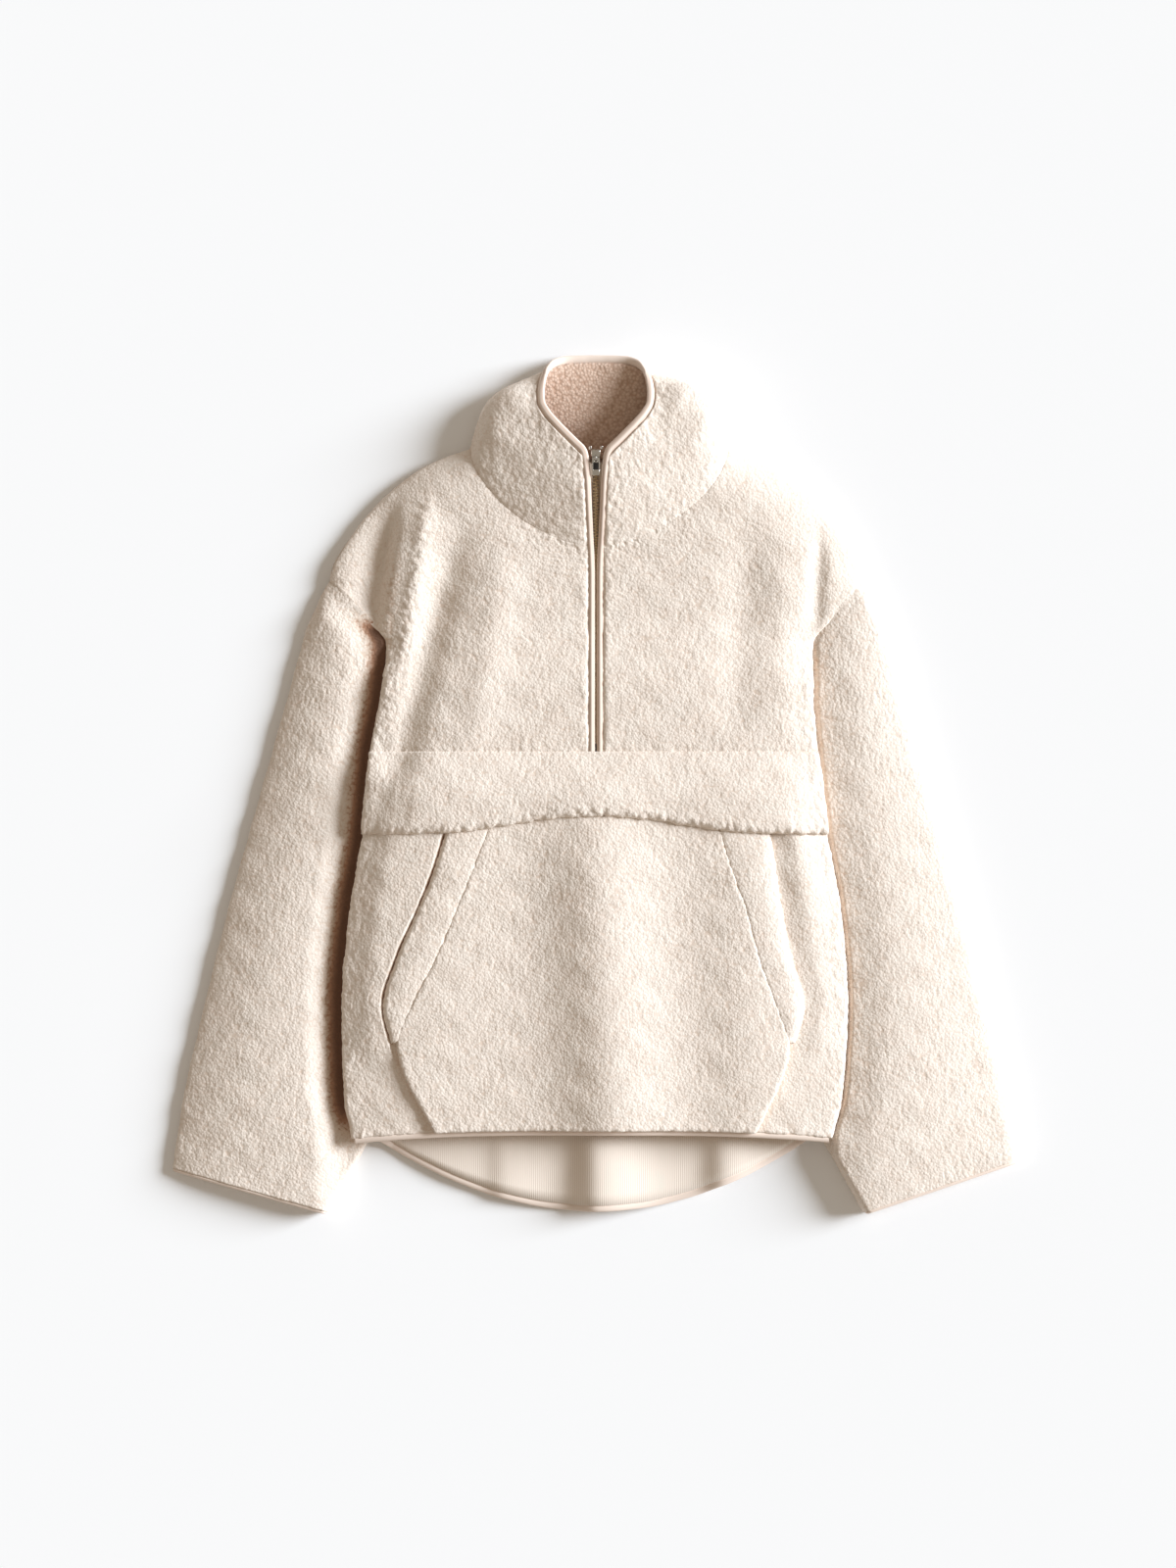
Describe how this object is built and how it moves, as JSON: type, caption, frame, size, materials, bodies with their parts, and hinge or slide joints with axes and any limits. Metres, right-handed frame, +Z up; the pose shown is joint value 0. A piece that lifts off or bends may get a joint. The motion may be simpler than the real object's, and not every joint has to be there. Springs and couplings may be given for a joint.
{
  "type": "half-zip sherpa jacket",
  "caption": "Oversized half-zip pullover jacket in cream sherpa pile, laid flat, with a stand collar, storm flap, kangaroo pocket and drop-tail hem.",
  "frame": {"origin": "on the surface that the jacket lies on, under the back panel, on the centre line of the zip and about half way up the garment", "axes": "+X to the right as seen from above with the collar up, +Y from the hem towards the collar, +Z up out of the front"},
  "size_m": [0.7765, 0.7873, 0.0431],
  "materials": {
    "sherpa": "cream curled polyester pile, matt and bumpy",
    "fleece": "short beige fleece",
    "binding": "smooth cream stretch tape, folded and stitched",
    "tape": "woven zip tape",
    "metal": "pale polished alloy"
  },
  "bodies": {
    "garment": {"back": "sherpa", "front_left": "sherpa", "front_right": "sherpa", "front_lower": "sherpa", "flap": "sherpa", "pocket": "sherpa", "pocket_band_left": "sherpa", "pocket_band_right": "sherpa", "sleeve_left": "sherpa", "sleeve_right": "sherpa", "collar": "sherpa", "collar_lining": "fleece", "neck_binding": "binding", "hem_binding_front": "binding", "hem_binding_back": "binding", "cuff_binding_left": "binding", "cuff_binding_right": "binding", "zip_tape_left": "tape", "zip_tape_right": "tape", "zip_chain": "metal", "zip_slider": "metal"},
    "pull_tab": {"zip_pull": "metal"}
  },
  "joints": [
    {"name": "pull_swing", "type": "hinge", "parent": "garment", "child": "pull_tab", "pos_m": [0, 0.29923, 0.04211], "axis": [-1, 0, 0], "range_deg": [0, 160]}
  ]
}
